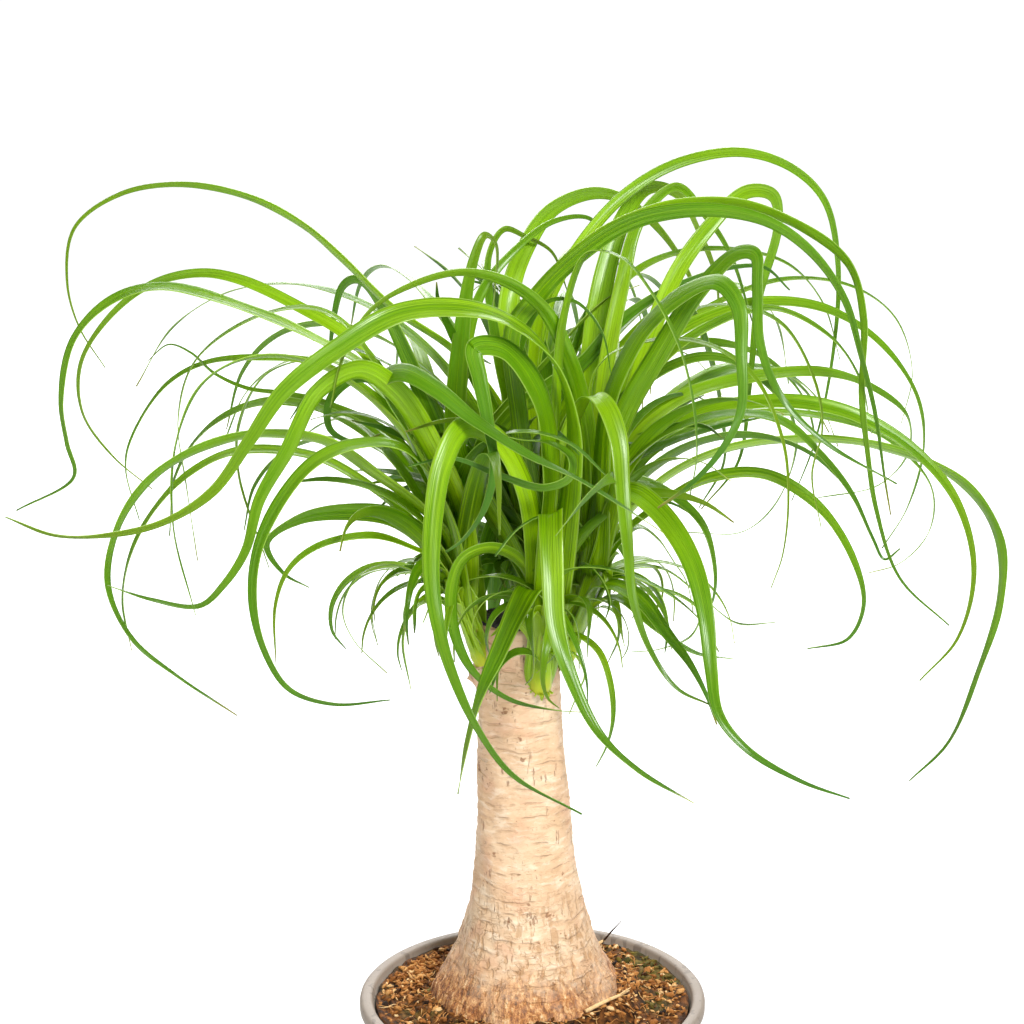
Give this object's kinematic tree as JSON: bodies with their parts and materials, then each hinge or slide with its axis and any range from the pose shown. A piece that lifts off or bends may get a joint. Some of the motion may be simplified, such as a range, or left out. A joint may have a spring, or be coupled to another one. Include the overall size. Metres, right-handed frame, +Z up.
{
  "type": "potted ponytail palm",
  "caption": "Potted ponytail palm: thick cut cane with swollen foot in a round clay pot, crowned by arching strap leaves.",
  "frame": {"origin": "centre of the pot's flat underside", "axes": "+Z up along the cane, -Y towards the front, +X to the right seen from the front"},
  "size_m": [0.6561, 0.5666, 0.7711],
  "materials": {
    "glazed_clay": "satin taupe glaze with fine cracks in the lip",
    "bark_soil": "loose bark and coir fibre mix, matte",
    "bark": "pale corky bark with fine rings and cracks, matte",
    "leaf": "smooth waxy leaf with fine parallel veins, semi-gloss"
  },
  "bodies": {
    "root": {"pot": "glazed_clay", "soil": "bark_soil", "trunk": "bark", "shoot_front": "leaf", "shoot_right": "leaf", "shoot_left": "leaf", "shoot_back": "leaf"}
  },
  "joints": []
}
